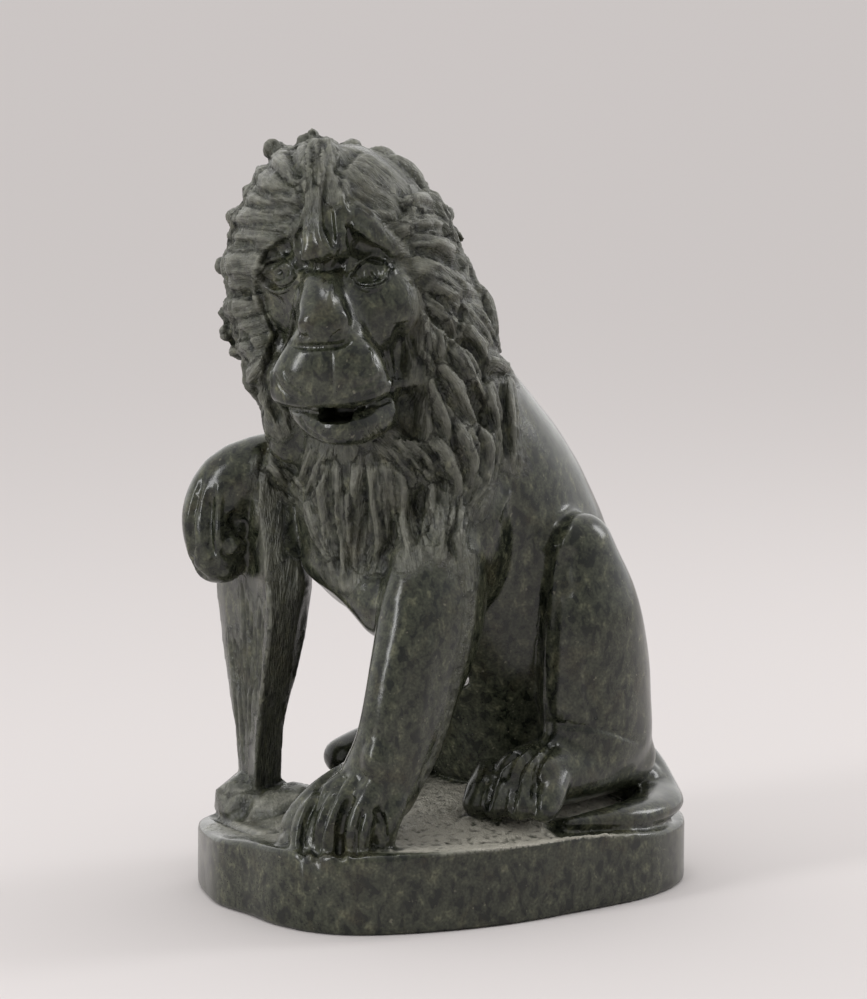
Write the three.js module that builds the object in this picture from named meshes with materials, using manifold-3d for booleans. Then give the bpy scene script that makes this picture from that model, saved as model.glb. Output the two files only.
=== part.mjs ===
// A seated lion carved with its shield, rock, tail and low oval plinth from one block of stone.
// Millimetres, +Z up. The lion faces -Y, its left flank is on +X, and z = 0 is the underside of the plinth.
import * as THREE from "three";
import { mergeVertices } from "three/addons/utils/BufferGeometryUtils.js";
import Module from "manifold-3d";

const wasm = await Module();
wasm.setup();

// Driving dimensions of the block
const plinthHeight = 31;
const plinthEndDrop = 6;
const plinthBevel = 1.6;
const groundTop = 38;
const groundThickness = 15;
const shieldTop = 172;
const shieldFacing = -32;
const headTurn = 24;
const maneReaches = [54.5, 44, 45, 55, 62, 55, 51, 52];
const faceLockCount = 18;
const chestLockCount = 11;
const lockRelief = 6;
const toeCount = 4;

// The head turns about its own centre: x is to the lion's left, forward is out of the face, up is +Z.
const headCentre = new THREE.Vector3(-8, -52, 248.5);
const turn = THREE.MathUtils.degToRad(headTurn);
const headLeft = new THREE.Vector3(Math.cos(turn), Math.sin(turn), 0);
const headForward = new THREE.Vector3(Math.sin(turn), -Math.cos(turn), 0);
const upward = new THREE.Vector3(0, 0, 1);
const sideways = new THREE.Vector3(1, 0, 0);
const pawAcross = new THREE.Vector3(0.81, 0.59, 0);

function onHead(x, forward, up) {
  return headCentre
    .clone()
    .addScaledVector(headLeft, x)
    .addScaledVector(headForward, forward)
    .addScaledVector(upward, up);
}

// A closed three.js geometry becomes a solid once its shared vertices are merged.
function solid(geometry) {
  const bare = geometry.clone();
  bare.deleteAttribute("normal");
  bare.deleteAttribute("uv");
  const merged = mergeVertices(bare, 1e-3);
  const mesh = new wasm.Mesh({
    numProp: 3,
    vertProperties: new Float32Array(merged.attributes.position.array),
    triVerts: new Uint32Array(merged.index.array),
  });
  return new wasm.Manifold(mesh);
}

function join(solids) {
  return solids.reduce((whole, piece) => whole.add(piece));
}

// A rounded form along a curve. Each station is [x, y, z, halfWidth, halfDepth]; the width lies towards
// `side`. The rings of a sphere are moved onto the sections, and its two ends become rounded caps.
// `relief` is a height added to the section, given the angle about the spine and the way along it.
function limb(
  stations,
  { around = 14, rings = 12, side = sideways, round = [1, 1], square = 1, relief = () => 0 } = {},
) {
  const spine = new THREE.CatmullRomCurve3(
    stations.map(([x, y, z]) => new THREE.Vector3(x, y, z)),
    false,
    "catmullrom",
  );
  const halves = new THREE.CatmullRomCurve3(
    stations.map((station) => new THREE.Vector3(station[3], station[4], 0)),
    false,
    "catmullrom",
  );
  const capShare = 0.2;
  const geometry = new THREE.SphereGeometry(1, around, rings);
  const position = geometry.attributes.position;
  const unit = new THREE.Vector3();
  for (let i = 0; i < position.count; i++) {
    unit.fromBufferAttribute(position, i);
    const along = Math.acos(THREE.MathUtils.clamp(unit.y, -1, 1)) / Math.PI;
    const nearStart = Math.min(along / capShare, 1);
    const nearEnd = Math.min((1 - along) / capShare, 1);
    const t = THREE.MathUtils.clamp((along - capShare) / (1 - 2 * capShare), 0, 1);
    const centre = spine.getPoint(t);
    const tangent = spine.getTangent(t);
    const half = halves.getPoint(t);
    const width = side.clone().addScaledVector(tangent, -side.dot(tangent)).normalize();
    const depth = tangent.clone().cross(width);
    const cap = Math.min(half.x, half.y);
    centre.addScaledVector(tangent, -round[0] * cap * Math.cos((nearStart * Math.PI) / 2));
    centre.addScaledVector(tangent, round[1] * cap * Math.cos((nearEnd * Math.PI) / 2));
    const swell = Math.sin((Math.min(nearStart, nearEnd) * Math.PI) / 2);
    const angle = Math.atan2(unit.z, unit.x);
    const across = Math.sign(Math.cos(angle)) * Math.abs(Math.cos(angle)) ** square;
    const deep = Math.sign(Math.sin(angle)) * Math.abs(Math.sin(angle)) ** square;
    const raised = relief(angle, t);
    centre.addScaledVector(width, across * (half.x + raised) * swell);
    centre.addScaledVector(depth, deep * (half.y + raised) * swell);
    position.setXYZ(i, centre.x, centre.y, centre.z);
  }
  return solid(geometry);
}

// An ellipsoid, turned by degrees about X, Y and Z.
function mass(centre, radii, degrees = [0, 0, 0], around = 16, rings = 10) {
  const geometry = new THREE.SphereGeometry(1, around, rings);
  const [x, y, z] = degrees.map((angle) => THREE.MathUtils.degToRad(angle));
  geometry.rotateX(Math.PI / 2);
  geometry.scale(...radii);
  geometry.rotateX(x);
  geometry.rotateY(y);
  geometry.rotateZ(z);
  geometry.translate(...centre);
  return solid(geometry);
}

// Stations of a form given in head coordinates.
function headStations(rows) {
  return rows.map(([x, forward, up, halfWidth, halfDepth]) => [
    ...onHead(x, forward, up).toArray(),
    halfWidth,
    halfDepth,
  ]);
}

function headLimb(rows, options = {}) {
  return limb(headStations(rows), { side: headLeft, around: 12, rings: 9, ...options });
}

function headMass(x, forward, up, radii, around = 14, rings = 10) {
  return mass(onHead(x, forward, up).toArray(), radii, [0, 0, headTurn], around, rings);
}

// Plinth: an oval cut by hand, with flats along its sides and a rim that drops towards the two ends.
function plinth() {
  const corners = [
    [-79, -60], [-49, -88], [-22, -98], [-4, -104], [14, -105], [30, -99], [50, -79],
    [66, -52], [75, -26], [83, 4], [86, 28], [80, 54], [65, 74], [42, 91],
    [8, 98], [-34, 94], [-62, 76], [-76, 44], [-80, 0], [-82, -36],
  ];
  const outline = new THREE.Shape(corners.map(([x, y]) => new THREE.Vector2(x, y)));
  const geometry = new THREE.ExtrudeGeometry(outline, {
    depth: plinthHeight - plinthBevel,
    bevelThickness: plinthBevel,
    bevelSize: plinthBevel,
    bevelOffset: -plinthBevel,
    bevelSegments: 1,
  });
  const highest = new THREE.Vector2(50, -75);
  const position = geometry.attributes.position;
  for (let i = 0; i < position.count; i++) {
    const z = position.getZ(i);
    if (z > plinthHeight / 2) {
      const away = highest.distanceTo(new THREE.Vector2(position.getX(i), position.getY(i)));
      position.setZ(i, z - plinthEndDrop * THREE.MathUtils.smoothstep(away, 50, 130));
    } else {
      position.setZ(i, Math.max(z, 0));
    }
  }
  return solid(geometry);
}

// Ground: the rough mound between the feet, and the low rock under the point of the shield.
function ground() {
  return join([
    mass([-2, 3, groundTop - groundThickness], [76, 88, groundThickness], [0, 0, 0], 20, 8),
    mass([-66, -42, 30], [18, 17, 14], [0, 0, 20], 12, 8),
    mass([-46, -44, 30], [16, 13, 9], [0, 0, 0], 10, 6),
  ]);
}

// Torso: one swelling form from the rump up the sloping back to the neck, with the chest in front.
function torso() {
  return join([
    limb(
      [
        [6, 44, 50, 42, 40],
        [6, 40, 92, 49, 49],
        [3, 17, 138, 46, 50],
        [-2, -10, 180, 43, 46],
        [-6, -28, 214, 36, 36],
        [-7, -40, 238, 32, 32],
      ],
      { around: 20, rings: 13, round: [0.4, 1] },
    ),
    mass([-8, -32, 158], [36, 29, 46], [-8, 0, 0], 16, 10),
    mass([26, -18, 150], [17, 28, 36], [-10, 0, 8], 12, 8),
    mass([-32, -16, 168], [18, 28, 28], [0, 0, 0], 10, 8),
    limb(
      [
        [-24, -44, 136, 12, 12],
        [-6, -50, 130, 12, 12],
        [12, -52, 119, 13, 14],
      ],
      { around: 10, rings: 7, side: upward },
    ),
  ]);
}

// Toes: rounded fingers side by side, from the knuckles to tips that bend to the ground.
function toes({ centre, facing, spread, length, half, tipHeight, fan = 0 }) {
  const angle = THREE.MathUtils.degToRad(facing);
  const ahead = new THREE.Vector3(Math.sin(angle), -Math.cos(angle), 0);
  const across = new THREE.Vector3(Math.cos(angle), Math.sin(angle), 0);
  const solids = [];
  for (let i = 0; i < toeCount; i++) {
    const place = i - (toeCount - 1) / 2;
    const direction = ahead.clone().addScaledVector(across, fan * place).normalize();
    const middleReach = 1 - 0.06 * place * place;
    const knuckle = new THREE.Vector3(...centre).addScaledVector(across, place * spread);
    const bend = knuckle.clone().addScaledVector(direction, length * 0.6 * middleReach);
    const tip = knuckle.clone().addScaledVector(direction, length * middleReach);
    const drop = knuckle.z - tipHeight;
    solids.push(
      limb(
        [
          [knuckle.x, knuckle.y, knuckle.z, half, half],
          [bend.x, bend.y, knuckle.z - drop * 0.35, half * 1.1, half * 1.1],
          [tip.x, tip.y, tipHeight + half * 0.9, half, half * 0.9],
        ],
        { around: 8, rings: 8, side: across },
      ),
    );
  }
  return join(solids);
}

// Left foreleg: it stands forward of the chest, and its five long toes bend over the rim of the plinth.
function leftForeleg() {
  const fingers = [
    [[13, -70, 60, 5, 5], [1, -80, 50, 5.5, 6], [-7, -89, 38, 5, 6], [-5, -95, 25, 5, 5.5]],
    [[18, -72, 61, 5, 5], [9, -84, 51, 5.5, 6], [2, -93, 40, 5.5, 6.5], [4, -98, 24, 5, 5.5]],
    [[22, -73, 61, 5, 5], [17, -85, 52, 5.5, 6], [13, -93, 41, 5.5, 6.5], [13, -95, 25, 5, 5.5]],
    [[26, -73, 60, 5.5, 6], [25, -82, 52, 6.5, 7], [24, -89, 41, 6, 6.5], [23, -89, 27, 5, 5.5]],
    [[30, -68, 56, 4.5, 5], [32, -76, 48, 5, 5.5], [31, -80, 40, 5, 5], [29, -80, 30, 4, 4]],
  ];
  return join([
    limb(
      [
        [26, -36, 144, 16, 23],
        [29, -48, 118, 17, 27],
        [28, -58, 92, 14.5, 24.5],
        [25.5, -65, 70, 14, 20.5],
        [20, -72, 52, 17, 14],
      ],
      { around: 14, rings: 12 },
    ),
    mass([24, -74, 62], [9, 9, 12], [0, 0, 0], 8, 6),
    ...fingers.map((finger) => limb(finger, { around: 7, rings: 8, side: pawAcross })),
  ]);
}

// Left hind leg: the haunch is one tall egg, with the shank and the long foot along the ground.
function leftHindLeg() {
  return join([
    limb(
      [
        [56, 18, 138, 14, 17],
        [57, 21, 112, 17, 26],
        [56, 25, 84, 18, 30],
        [56, 28, 58, 17, 30],
      ],
      { around: 14, rings: 11 },
    ),
    mass([34, 47, 86], [22, 34, 42], [0, 0, 0], 14, 10),
    limb(
      [
        [50, -12, 50, 15, 13],
        [54, 14, 51, 16, 15],
        [56, 50, 50, 16, 15],
      ],
      { around: 12, rings: 9, side: sideways },
    ),
    toes({ centre: [47, -12, 50], facing: 12, spread: 9.4, length: 15, half: 6.2, tipHeight: 35 }),
  ]);
}

// Right hind leg: folded low on the far side, with its paw just ahead of the knee.
function rightHindLeg() {
  return join([
    mass([-35, 36, 60], [20, 34, 27], [0, 0, 10], 14, 9),
    mass([-26, 56, 74], [26, 34, 36], [0, 0, 0], 14, 9),
    limb(
      [
        [-38, 24, 50, 10, 9],
        [-45, 10, 48, 10, 9],
        [-50, -2, 45, 9, 8],
      ],
      { around: 10, rings: 8 },
    ),
  ]);
}

// Raised right foreleg: out from behind the beard, over the top of the shield, the paw hanging on its face.
function raisedForeleg() {
  return limb(
    [
      [-36, -22, 166, 16, 18],
      [-52, -34, 169, 14, 14],
      [-68, -48, 163, 14, 13],
      [-74, -54, 150, 13.5, 12],
      [-72, -56, 138, 12.5, 11],
      [-71, -55, 130, 11, 9],
    ],
    { around: 12, rings: 14, side: pawAcross },
  );
}

// Shield: a heater shape that stands on its blunt point and faces past the lion's right. Each row gives its
// height, then its far edge, near edge, side and back, each along the face and out of it.
function shield() {
  const rows = [
    [36, -7, 8, 12, 8.5, 11, 5, 7, -5],
    [60, -11, 8.6, 15, 8.6, 13, 4, 8, -5.5],
    [86, -20, 9.7, 21, 8.4, 19.5, -1, 14, -9],
    [103, -26, 10.2, 27, 8, 24, -4.5, 17, -12],
    [116, -29, 10.4, 28, 8, 26, -7, 18, -13.5],
    [134, -29, 10, 25, 8.3, 25, -6, 18, -12],
    [164, -24, 9.5, 16.5, 8.6, 17, -5, 10, -10.5],
    [shieldTop, -22, 9, 15, 8.5, 15, -5, 9, -10],
  ];
  const angle = THREE.MathUtils.degToRad(shieldFacing);
  const places = [];
  for (const [height, far, farOut, near, nearOut, side, sideOut, back, backOut] of rows) {
    const outline = [
      [far, farOut], [near, nearOut], [side, sideOut], [back, backOut], [far + 3, -4], [far, farOut - 4],
    ];
    for (const [along, out] of outline) {
      const x = -62 + along * Math.cos(angle) + out * Math.sin(angle);
      const y = -38 + along * Math.sin(angle) - out * Math.cos(angle);
      places.push(x, y, height);
    }
  }
  const corners = 6;
  const faces = [];
  for (let row = 0; row < rows.length - 1; row++) {
    for (let k = 0; k < corners; k++) {
      const [a, b] = [row * corners + k, row * corners + ((k + 1) % corners)];
      faces.push(a, b, b + corners, a, b + corners, a + corners);
    }
  }
  const top = (rows.length - 1) * corners;
  for (let k = 1; k < corners - 1; k++) {
    faces.push(0, k + 1, k);
    faces.push(top, top + k, top + k + 1);
  }
  const geometry = new THREE.BufferGeometry();
  geometry.setAttribute("position", new THREE.Float32BufferAttribute(places, 3));
  geometry.setIndex(faces);
  return solid(geometry);
}

// Tail: it leaves the rump, lies round the left side on the ground and ends in a point beside the hind foot.
function tail() {
  return limb(
    [
      [12, 68, 62, 14, 12],
      [42, 74, 46, 10, 10],
      [62, 60, 38, 8, 8],
      [74, 40, 33, 7, 8],
      [76, 18, 33, 6, 7],
      [66, -6, 35, 4, 4],
    ],
    { around: 8, rings: 12, side: upward },
  );
}

// Head: skull, long flat muzzle, nose bridge, cheeks, heavy brows over deep eyes, and a parted jaw.
function head() {
  const eyes = [
    [-20.5, 1.5],
    [15, 1.5],
  ];
  const bulk = join([
    headMass(-4, -7, 6, [36, 34, 38], 16, 11),
    headLimb([[-3, 8, -2, 17, 17], [0, 26, -20, 14.5, 16], [1, 30, -34, 20, 14]], { square: 0.85 }),
    headLimb(
      [
        [-4, 25, 3, 8, 8],
        [-3, 30, -8, 11, 9],
        [-1, 33, -20, 15, 11.5],
        [0.5, 34.5, -31, 20, 13.5],
        [1.5, 33, -43, 23, 14],
      ],
      { square: 0.8, round: [0.8, 0.45], around: 14, rings: 10 },
    ),
    headMass(-22, 7, -11, [9, 10, 14], 9, 7),
    headMass(14, 14, -14, [10, 13, 16], 9, 7),
  ]);
  const sockets = join(eyes.map(([x, up]) => headMass(x, 30, up + 3, [10, 7, 6.5], 8, 6)));
  const mouth = headLimb([[-5, 38, -52, 5, 3], [2, 41, -52, 6, 3], [9, 38, -52, 5, 3]], {
    around: 8,
    rings: 6,
    side: headForward,
  });
  const features = [
    headLimb([[3, 12, -49, 16, 10], [3, 28, -55.5, 15, 7.5]], { square: 0.9, rings: 7, around: 10 }),
    headLimb(
      [
        [-5, 20, 5, 6.5, 7],
        [-4.2, 30, -3, 7.5, 7],
        [-2, 38, -10, 8.5, 8],
        [0.4, 43.5, -16, 9, 8],
      ],
      { square: 0.6, around: 8, rings: 8 },
    ),
    headMass(0.8, 45, -17.5, [9.8, 9, 6.8], 8, 6),
    headLimb(
      [
        [-9.5, 8, 47.5, 6, 5],
        [-8, 19, 41.5, 6, 5],
        [-7.7, 25, 28, 3.6, 4.5],
        [-4.6, 30.5, 11, 7.5, 4],
      ],
      { square: 0.7, around: 8, rings: 7 },
    ),
    ...eyes.map(([x, up]) => headMass(x, 24.5, up, [6.5, 4.5, 4], 8, 6)),
  ];
  const brows = [
    [[6, 21, 22, 7, 6.5], [15.5, 18, 14.5, 6.5, 6.5], [23, 10.5, 8, 5, 5]],
    [[-12.5, 21, 20, 6, 6], [-21, 17, 15, 5.5, 5.5], [-30, 8, 8, 5, 5]],
  ];
  for (const brow of brows) {
    features.push(headLimb(brow, { around: 7, rings: 6, side: upward }));
  }
  return bulk.subtract(sockets).add(join(features)).subtract(mouth);
}

// How far a lock stands out at a place: rows of rounded locks, each ending in a point, shifted by half from
// row to row. `column` runs across the locks and `row` along them, one unit a lock.
function lockHeight(column, row) {
  const line = Math.floor(row);
  const down = row - line;
  const across = Math.abs(column + 0.5 * (line % 2) - Math.round(column + 0.5 * (line % 2)));
  const narrow = 0.62 - 0.3 * down;
  return Math.max(0, 1 - across / narrow) * (1 - 0.55 * down);
}

// Mane: a thick ruff about the face, its locks combed back from the cheeks and brow to pointed ends. Its
// reach from the middle of the face is given every eighth of a turn, clockwise as one looks at the lion.
function mane() {
  const reaches = new THREE.CatmullRomCurve3(
    maneReaches.map((reach) => new THREE.Vector3(reach, 0, 0)),
    true,
    "catmullrom",
  );
  const [middle, frontDepth, backDepth, fringe] = [-12, 26, 40, 15];
  const geometry = new THREE.SphereGeometry(1, 54, 14);
  const position = geometry.attributes.position;
  const unit = new THREE.Vector3();
  for (let i = 0; i < position.count; i++) {
    unit.fromBufferAttribute(position, i);
    const backward = Math.acos(THREE.MathUtils.clamp(unit.y, -1, 1)) / Math.PI;
    const angle = Math.atan2(-unit.x, unit.z);
    const part = THREE.MathUtils.euclideanModulo(angle / (2 * Math.PI), 1);
    const reach = reaches.getPoint(part).x;
    const lock = lockHeight(part * faceLockCount + 1.2 * backward, 5 * backward);
    const inFront = backward < 0.5;
    const crown = Math.max(0, Math.cos(angle)) ** 2;
    const overBrow = inFront ? fringe * crown * Math.sin(2 * Math.PI * backward) : 0;
    const depth = inFront ? frontDepth : backDepth;
    const forward = middle + overBrow + depth * Math.cos(Math.PI * backward);
    const swell = Math.sin(Math.PI * backward) ** 0.7;
    const across = swell * (reach - 4 + lockRelief * lock);
    const place = onHead(-3 + across * Math.sin(angle), forward, across * Math.cos(angle));
    position.setXYZ(i, place.x, place.y, place.z);
  }
  const underCheek = headLimb([[-29, 0, -34, 12, 12], [-28, -2, -50, 10, 11], [-26, -4, -66, 6, 7]], {
    around: 8,
    rings: 6,
  });
  return solid(geometry).add(underCheek);
}

// Locks of the neck and chest: a thick bib from under the jaw to the breast, smooth behind the shoulders.
function chestLocks() {
  const relief = (angle, t) => {
    const nape = 1 - THREE.MathUtils.smoothstep(t, 0.3, 0.5);
    const front = Math.max(nape, THREE.MathUtils.smoothstep(Math.sin(angle), -0.75, -0.2));
    return front * lockRelief * lockHeight((angle / (2 * Math.PI)) * chestLockCount, 4.5 * t);
  };
  return limb(
    [
      [-7, -42, 250, 31, 31],
      [-5, -29, 219, 38, 38],
      [-3, -25, 184, 40, 42],
      [-4, -27, 158, 36, 36],
      [-6, -32, 136, 29, 27],
    ],
    { around: 44, rings: 17, round: [0.5, 0.6], relief },
  );
}

// Under the belly a small opening is cut right through, over the folded hind leg.
function bellyOpening() {
  return limb(
    [
      [19, -16, 86, 3.4, 2.6],
      [-23, 42, 77, 9, 4.5],
      [-63, 97, 68, 20, 8],
    ],
    { around: 8, rings: 6, side: new THREE.Vector3(0.8, 0.6, 0) },
  );
}

const carved = join([
  plinth(),
  ground(),
  torso(),
  leftForeleg(),
  leftHindLeg(),
  rightHindLeg(),
  raisedForeleg(),
  shield(),
  tail(),
  head(),
  mane(),
  chestLocks(),
]).subtract(bellyOpening());

const result = carved.getMesh();
const geometry = new THREE.BufferGeometry();
geometry.setAttribute("position", new THREE.BufferAttribute(result.vertProperties, 3));
geometry.setIndex(new THREE.BufferAttribute(result.triVerts, 1));
geometry.computeVertexNormals();
geometry.computeBoundingBox();
const outlineMiddle = geometry.boundingBox.getCenter(new THREE.Vector3());

const stone = new THREE.MeshStandardMaterial({ color: 0x2b322b, roughness: 0.3, metalness: 0 });
const lion = new THREE.Mesh(geometry, stone);
lion.name = "lion_sculpture";

// The carving was set out from the lion's own middle; the part's origin is the middle of its whole outline.
const group = new THREE.Group();
group.position.set(-outlineMiddle.x, -outlineMiddle.y, 0);
group.add(lion);

export default group;
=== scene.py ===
import math
import bmesh
import bpy
import numpy as np
from mathutils import Matrix, Vector, noise
from mathutils.bvhtree import BVHTree
from mathutils.kdtree import KDTree


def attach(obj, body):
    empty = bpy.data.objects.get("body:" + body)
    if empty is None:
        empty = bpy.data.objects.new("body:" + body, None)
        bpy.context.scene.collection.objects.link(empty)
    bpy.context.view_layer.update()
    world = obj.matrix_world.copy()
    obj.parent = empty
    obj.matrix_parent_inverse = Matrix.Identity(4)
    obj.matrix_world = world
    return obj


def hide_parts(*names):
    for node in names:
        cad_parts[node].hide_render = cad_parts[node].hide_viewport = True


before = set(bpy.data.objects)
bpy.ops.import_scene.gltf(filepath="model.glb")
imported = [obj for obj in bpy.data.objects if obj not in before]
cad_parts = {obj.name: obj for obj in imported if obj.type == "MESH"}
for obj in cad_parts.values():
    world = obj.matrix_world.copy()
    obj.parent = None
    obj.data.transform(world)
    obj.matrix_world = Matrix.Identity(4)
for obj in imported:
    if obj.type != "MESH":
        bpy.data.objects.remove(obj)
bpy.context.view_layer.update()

# Camera. The photograph looks down a little on the lion's left front, from far off with a long lens. The
# carving is set out in millimetres from the lion's own middle, and the part's origin is the middle of the
# whole outline, so every place below is turned into metres about that point.
millimetre = 0.001
outline_middle = np.array([-3.05, -3.5, 0.0])
camera_azimuth = math.radians(36)
camera_pitch = math.radians(7.5)
camera_distance = 1600
camera_target = np.array([-3.5, -2.5, 155.0])
photo_size = (867, 999)
focal_pixels = 4000
film_width = 36

camera_back = np.array([
    math.sin(camera_azimuth) * math.cos(camera_pitch),
    -math.cos(camera_azimuth) * math.cos(camera_pitch),
    math.sin(camera_pitch),
])
camera_right = np.array([math.cos(camera_azimuth), math.sin(camera_azimuth), 0.0])
camera_up = np.cross(camera_back, camera_right)
camera_place = camera_target + camera_distance * camera_back


def metres(place):
    return (np.asarray(place, float) - outline_middle) * millimetre


camera = bpy.data.objects.new("camera", bpy.data.cameras.new("camera"))
bpy.context.collection.objects.link(camera)
camera.matrix_world = Matrix.Translation(Vector(metres(camera_place))) @ Matrix(
    (camera_right, camera_up, camera_back)
).transposed().to_4x4()
camera.data.sensor_width = film_width
camera.data.lens = film_width * focal_pixels / max(photo_size)
camera.data.clip_end = 200
bpy.context.scene.camera = camera

# Torso. The whole lion comes out of one block of dark green stone, so it is roughed out first in large
# round forms: a rump, a sloping back, a deep chest and two shoulders, which are then rubbed together.
blocked_out = bmesh.new()


def along_curve(rows, where):
    """Points of the smooth curve through the rows, at the given shares of its length."""
    rows = np.asarray(rows, float)
    padded = np.vstack([2 * rows[0] - rows[1], rows, 2 * rows[-1] - rows[-2]])
    spans = len(rows) - 1
    place = np.clip(np.asarray(where, float) * spans, 0, spans - 1e-9)
    span = place.astype(int)
    f = (place - span)[:, None]
    a, b, c, d = (padded[span + k] for k in range(4))
    return 0.5 * (2 * b + (c - a) * f + (2 * a - 5 * b + 4 * c - d) * f**2 + (3 * b - a - 3 * c + d) * f**3)


def unit(vectors):
    vectors = np.asarray(vectors, float)
    return vectors / np.maximum(np.linalg.norm(vectors, axis=-1, keepdims=True), 1e-12)


def add(body, form):
    """Put a small form in with the others."""
    mesh = bpy.data.meshes.new("form")
    form.to_mesh(mesh)
    form.free()
    body.from_mesh(mesh)
    bpy.data.meshes.remove(mesh)


def limb(body, stations, side=(1, 0, 0), around=32, rings=26, ends=(1, 1), square=1.0):
    """A rounded form along a curve.

    A station is x, y, z, half width and half depth, with the width towards `side`. `ends` says how far
    the two ends are drawn out. A section is an oval at a `square` of 1, squarer below it and sharper above.
    """
    form = bmesh.new()
    made = bmesh.ops.create_uvsphere(form, u_segments=around, v_segments=rings, radius=1)["verts"]
    ball = np.array([vertex.co for vertex in made])
    cap_share = 0.2
    small = 1e-3
    way = np.arccos(np.clip(ball[:, 2], -1, 1)) / math.pi
    near_start = np.minimum(way / cap_share, 1) * math.pi / 2
    near_end = np.minimum((1 - way) / cap_share, 1) * math.pi / 2
    t = np.clip((way - cap_share) / (1 - 2 * cap_share), 0, 1)
    row = along_curve(stations, t)
    spine = np.asarray(stations, float)[:, :3]
    ahead, behind = np.minimum(t + small, 1), np.maximum(t - small, 0)
    tangent = unit(along_curve(spine, ahead) - along_curve(spine, behind))
    side = np.asarray(side, float)
    width = unit(side - (tangent @ side)[:, None] * tangent)
    depth = np.cross(tangent, width)
    cap = np.minimum(row[:, 3], row[:, 4])
    angle = -np.arctan2(ball[:, 1], ball[:, 0])
    swell = np.sin(np.minimum(near_start, near_end))
    across = np.sign(np.cos(angle)) * np.abs(np.cos(angle)) ** square * row[:, 3] * swell
    deep = np.sign(np.sin(angle)) * np.abs(np.sin(angle)) ** square * row[:, 4] * swell
    lift = cap * (ends[1] * np.cos(near_end) - ends[0] * np.cos(near_start))
    place = row[:, :3] + lift[:, None] * tangent + across[:, None] * width + deep[:, None] * depth
    for vertex, co in zip(made, place):
        vertex.co = co
    add(body, form)


def mass(body, centre, radii, turned=(0, 0, 0), around=32, rings=24):
    """An egg-shaped form, turned by degrees about X, Y and Z."""
    form = bmesh.new()
    made = bmesh.ops.create_uvsphere(form, u_segments=around, v_segments=rings, radius=1)["verts"]
    bmesh.ops.scale(form, vec=radii, verts=made)
    for angle, axis in zip(turned, "XYZ"):
        bmesh.ops.rotate(form, verts=made, matrix=Matrix.Rotation(math.radians(angle), 3, axis))
    bmesh.ops.translate(form, vec=centre, verts=made)
    add(body, form)


limb(blocked_out, [
    (6, 44, 50, 42, 40),
    (6, 40, 92, 49, 49),
    (3.6, 18.5, 139, 47, 51.5),
    (-2, -10, 180, 43, 46),
    (-6, -28, 214, 36, 36),
    (-7, -40, 238, 32, 32),
], around=64, rings=48, ends=(0.4, 1))
mass(blocked_out, (-8, -32, 158), (36, 29, 46), (-8, 0, 0))
mass(blocked_out, (26, -18, 150), (17, 28, 36), (-10, 0, 8))
mass(blocked_out, (-32, -16, 168), (18, 28, 28))
limb(blocked_out, [(-24, -44, 136, 12, 12), (-6, -50, 130, 12, 12), (12, -52, 119, 13, 14)], side=(0, 0, 1))

# Legs. The left foreleg stands forward of the chest; the left haunch is one tall egg over a long foot; the
# right hind leg is folded low on the far side; the right foreleg reaches out from behind the beard.
limb(blocked_out, [
    (26, -36, 144, 16, 23),
    (29, -48, 118, 17, 27),
    (28, -58, 92, 14.5, 24.5),
    (25.5, -65, 70, 14, 20.5),
    (20, -72, 52, 17, 14),
])
limb(blocked_out, [
    (54, 15, 138.5, 14, 16),
    (57, 20, 112, 17, 25),
    (56, 25, 84, 18, 30),
    (56, 28, 58, 17, 30),
])
mass(blocked_out, (34, 47, 86), (22, 34, 42))
limb(blocked_out, [
    (50, -12, 50, 15, 13),
    (54, 14, 51, 16, 15),
    (54, 47, 50, 15, 14),
])
mass(blocked_out, (-35, 36, 60), (20, 34, 27), (0, 0, 10))
mass(blocked_out, (-26, 56, 74), (26, 34, 36))
limb(blocked_out, [
    (-38, 24, 50, 10, 9),
    (-45, 10, 48, 10, 9),
    (-50, -2, 45, 9, 8),
])
limb(blocked_out, [
    (-36, -22, 166, 16, 18),
    (-52, -34, 169, 14, 14),
    (-68, -48, 163, 14, 13),
    (-74, -54, 150, 13.5, 12),
    (-72, -56, 138, 12.5, 11),
    (-71, -55, 130, 11, 9),
], side=camera_right)

# Head. It is turned to the lion's left, with a broad skull, a long flat muzzle and full cheeks, in a thick
# ruff. Places on it are given from its own centre: to the lion's left, forward out of the face, and up.
head_centre = np.array([-8, -52, 248.5])
head_turn = math.radians(24)
head_left = np.array([math.cos(head_turn), math.sin(head_turn), 0.0])
head_forward = np.array([math.sin(head_turn), -math.cos(head_turn), 0.0])
upward = np.array([0.0, 0.0, 1.0])


def on_head(left, forward, up):
    return head_centre + left * head_left + forward * head_forward + up * upward


def head_limb(body, rows, side=head_left, **options):
    limb(body, [(*on_head(*row[:3]), *row[3:]) for row in rows], side=side, **options)


def head_mass(body, left, forward, up, radii, **options):
    mass(body, on_head(left, forward, up), radii, (0, 0, math.degrees(head_turn)), **options)


head_mass(blocked_out, -4, -7, 6, (36, 34, 38))
head_limb(blocked_out, [(-3, 8, -2, 17, 17), (0, 26, -20, 14.5, 16), (1, 30, -34, 20, 14)], square=0.85)
head_mass(blocked_out, -22, 7, -11, (9, 10, 14))
head_mass(blocked_out, 18, 17.5, -11, (14, 13, 16))
head_limb(blocked_out, [
    (-4, 22, 3, 6, 6),
    (-3.5, 25, -8, 7, 7.5),
    (-2, 31, -20, 12, 11),
    (-0.3, 34.5, -31, 21, 13.5),
    (0.6, 33, -43, 24, 14),
], square=0.9, ends=(0.8, 0.45), around=48, rings=36)
head_limb(blocked_out, [
    (-5, 18, 5, 7, 7.5),
    (-4.2, 29, -3, 7.5, 8),
    (-2, 37, -10, 9, 9),
    (0.4, 42, -16, 9.5, 8.5),
], square=0.85)

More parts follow.
